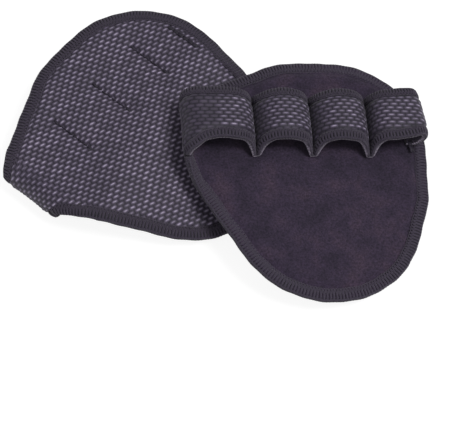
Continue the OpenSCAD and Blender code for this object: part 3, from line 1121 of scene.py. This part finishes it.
def padPieces(grip, finish):
    side = grip.side
    fingers, palm = side + "_finger_", side + "_palm_"
    u, y, faces = padGrid(0.4, 0.7)
    face, inset = outerFace(grip, u, y)
    height, luck = weave(u, y)
    relief = weaveShape["relief"] * (height - 0.4) * smooth(inset, 3.6, 5.2)
    face = face - relief
    fabric = sheetPiece(side + "PadFabric", grip, u, y, face, faces, -1.0, finish["fabric"])
    weaveOnto(fabric, height * smooth(inset, 4.2, 5.4), luck)
    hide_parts(fingers + "skin", palm + "skin")

    u, y, faces = padGrid(0.9, 0.7)
    face = knitFace(grip, u, y)
    knit = sheetPiece(side + "PadKnit", grip, u, y, face, faces, 1.0, finish["knit"])
    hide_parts(fingers + "lining", palm + "lining")

    u, y, faces = padGrid(1.6, 1.1)
    upper = outerFace(grip, u, y)[0] + 0.5
    lower = np.maximum(knitFace(grip, u, y) - 0.3, upper + 0.4)
    foam = blockPiece(side + "PadFoam", grip, u, y, upper, lower, faces, finish["foam"])
    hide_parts(fingers + "foam", palm + "foam")

    seed = 1.0 if side == "left" else 5.0
    # 0.85: the pads' rim chain gets weaker painted highlights than the straps', painted as if in
    #       shade
    thread = edging(side + "PadEdging", grip, padEdgePath(), seed, 0.85, finish["edging"])
    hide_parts(fingers + "overlock", palm + "overlock")
    for piece in (fabric, knit, foam, thread):
        grip.blendAcross(piece)
    print(side, "pad made")


def strapPieces(grip, finish):
    side = grip.side
    body = side + "_fingers"
    strap = side + "_strap_"
    t, y, faces = strapGrid(0.36, 66, 0.7)
    height, luck = weave(foldStart - t, y)
    inset = strapInset(t, y)
    relief = weaveShape["relief"] * (height - 0.4) * smooth(inset, 2.5, 4.5)
    tucked = 0.1 * smooth(t, 0.6, -0.6)
    # at the fold the strap takes up the pad's own rise
    puffJoin = outerFace(grip, foldStart + 0.01 + 0 * y, y)[0] - strapOuter(0 * y, y)
    face = strapOuter(t, y) + puffJoin * smooth(t, 12, 0) - relief + tucked
    u = foldStart - t
    fabric = sheetPiece(side + "StrapFabric", grip, u, y, face, faces, -1.0, finish["fabric"])
    # the floats' colour carries painted shade on the loops' rising sides and down in the seams
    weaveOnto(fabric, height * smooth(inset, 3.4, 4.6) * loopPaintedShade(t), luck)
    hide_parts(strap + "skin")

    t, y, faces = strapGrid(0.8, 26, 0.7)
    face = strapInner(t, y)
    knit = sheetPiece(side + "StrapKnit", grip, foldStart - t, y, face, faces, 1.0, finish["knit"])
    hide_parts(strap + "lining")

    t, y, faces = strapGrid(1.2, 18, 1.1)
    u, upper, lower = foldStart - t, strapOuter(t, y) + 0.5, strapInner(t, y) - 0.3
    foam = blockPiece(side + "StrapFoam", grip, u, y, upper, lower, faces, finish["foam"])
    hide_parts(strap + "foam")
    pieces = [fabric, knit, foam]

    for edge, seed in (("rear", 2.0), ("front", 3.0)):
        name = side + "Strap" + edge.capitalize() + "Edging"
        # 1.0: the straps' rim chains get the full painted highlights
        thread = edging(name, grip, strapEdgePath(edge), seed, 1.0, finish["edging"])
        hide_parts(strap + edge + "_overlock")
        pieces.append(thread)

    half = pattern["seamHalf"]
    for number, finger in enumerate(("index", "middle", "ring")):
        runs = ((pattern["seams"][number], "pad"), (valleys[number], "strap"))
        name = side + "Seam" + finger.capitalize()
        piece = seamPiece(name, grip, runs, -half, half, finish["seam"])
        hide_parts(side + "_seam_" + finger)
        pieces.append(piece)
    runs = ((pattern["tackX"], "pad"), (strapLength - 2.2, "inside"))
    piece = seamPiece(side + "EndTack", grip, runs, -12.5, 4.5, finish["seam"])
    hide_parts(side + "_end_tack")
    pieces.append(piece)
    for piece in pieces:
        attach(piece, body)
    print(side, "strap and seams made")


finish = {
    "fabric": raisedFabric(),
    "knit": smoothKnit(),
    "foam": rubberFoam(),
    "edging": edgingThread(),
    "seam": seamYarn(),
}
for grip in (left, right):
    padPieces(grip, finish)
    strapPieces(grip, finish)


# the table, the white surroundings and the lamps
studio = {
    "sky": 0.44,
    "key": 1.9,
    "keyFrom": (0.5, -0.12, 0.95),
    "keySoft": 20,
    "fill": 0.3,
    "fillFrom": (-0.6, -0.9, 1.2),
    "fillSoft": 60,
    "floorHalf": 3.0,
    "glow": 0.88,
}


def splitRays(tree, plain, seen, kind):
    # one shader lights the scene, and the camera sees the other
    rays = addNode(tree, "LightPath")
    either = addNode(tree, "MixShader")
    output = addNode(tree, kind)
    tree.links.new(rays.outputs["Is Camera Ray"], either.inputs[0])
    tree.links.new(plain.outputs[0], either.inputs[1])
    tree.links.new(seen.outputs[0], either.inputs[2])
    tree.links.new(either.outputs[0], output.inputs["Surface"])


def addFloor():
    half = studio["floorHalf"]
    mesh = bpy.data.meshes.new("table")
    corners = [(-half, -half, 0), (half, -half, 0), (half, half, 0), (-half, half, 0)]
    mesh.from_pydata(corners, [], [(0, 1, 2, 3)])
    table = inScene("table", mesh)
    table.location.z = -0.0002
    material = bpy.data.materials.new("paleTable")
    material.use_nodes = True
    tree = material.node_tree
    tree.nodes.clear()
    plain = addNode(tree, "BsdfDiffuse")
    shaded = addNode(tree, "BsdfDiffuse")
    glow = addNode(tree, "Emission")
    both = addNode(tree, "AddShader")
    setInputs(plain, {"Color": (0.75, 0.75, 0.76, 1)})
    setInputs(shaded, {"Color": grey(0.2)})
    setInputs(glow, {"Strength": studio["glow"]})
    tree.links.new(shaded.outputs[0], both.inputs[0])
    tree.links.new(glow.outputs[0], both.inputs[1])
    splitRays(tree, plain, both, "OutputMaterial")
    mesh.materials.append(material)


def addSky():
    world = bpy.data.worlds.new("studio")
    bpy.context.scene.world = world
    world.use_nodes = True
    tree = world.node_tree
    tree.nodes.clear()
    soft = addNode(tree, "Background")
    white = addNode(tree, "Background")
    setInputs(soft, {"Color": grey(1), "Strength": studio["sky"]})
    setInputs(white, {"Color": grey(1), "Strength": 1.0})
    splitRays(tree, soft, white, "OutputWorld")


def addLamp(name, comesFrom, strength, softness):
    lamp = bpy.data.lights.new(name, "SUN")
    lamp.energy = strength
    lamp.angle = math.radians(softness)
    x, y, z = unit(np.array(comesFrom, float))
    inScene(name, lamp).rotation_euler = (math.acos(z), 0, math.atan2(y, x) + math.pi / 2)


addFloor()
addSky()
addLamp("keyLamp", studio["keyFrom"], studio["key"], studio["keySoft"])
addLamp("fillLamp", studio["fillFrom"], studio["fill"], studio["fillSoft"])
bpy.context.scene.view_settings.view_transform = "Standard"
print("studio lit")
